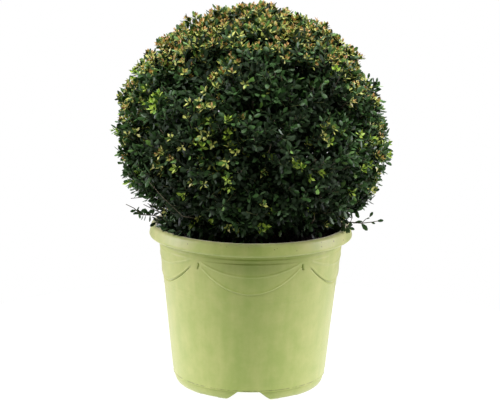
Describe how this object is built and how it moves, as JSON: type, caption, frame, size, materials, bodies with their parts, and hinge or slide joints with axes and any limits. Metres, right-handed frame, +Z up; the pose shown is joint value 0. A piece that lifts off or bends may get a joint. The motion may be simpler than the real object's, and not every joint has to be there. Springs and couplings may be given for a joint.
{
  "type": "potted japanese holly ball",
  "caption": "Clipped evergreen ball on a short stem in a round plastic pot with a rolled rim, swags in relief and a notched foot.",
  "frame": {"origin": "on the floor under the middle of the pot", "axes": "+Z up along the stem, -Y towards the front, where a swag and a foot notch are centred"},
  "size_m": [0.4509, 0.4473, 0.6282],
  "materials": {
    "pot_plastic": "satin moulded plastic, pistachio green",
    "potting_mix": "moist dark potting mix with bits of bark",
    "bark": "grey-brown young bark",
    "foliage": "small glossy dark green leaves with bronze and lime new growth"
  },
  "bodies": {
    "root": {"pot": "pot_plastic", "potting_mix": "potting_mix", "stem": "bark", "bough_side_1": "bark", "bough_side_2": "bark", "bough_side_3": "bark", "bough_side_4": "bark", "bough_side_5": "bark", "bough_side_6": "bark", "bough_top": "bark", "bough_low_left": "bark", "bough_low_right": "bark", "foliage_side_1": "foliage", "foliage_side_2": "foliage", "foliage_side_3": "foliage", "foliage_side_4": "foliage", "foliage_side_5": "foliage", "foliage_side_6": "foliage", "foliage_top": "foliage", "foliage_low_left": "foliage", "foliage_low_right": "foliage"}
  },
  "joints": []
}
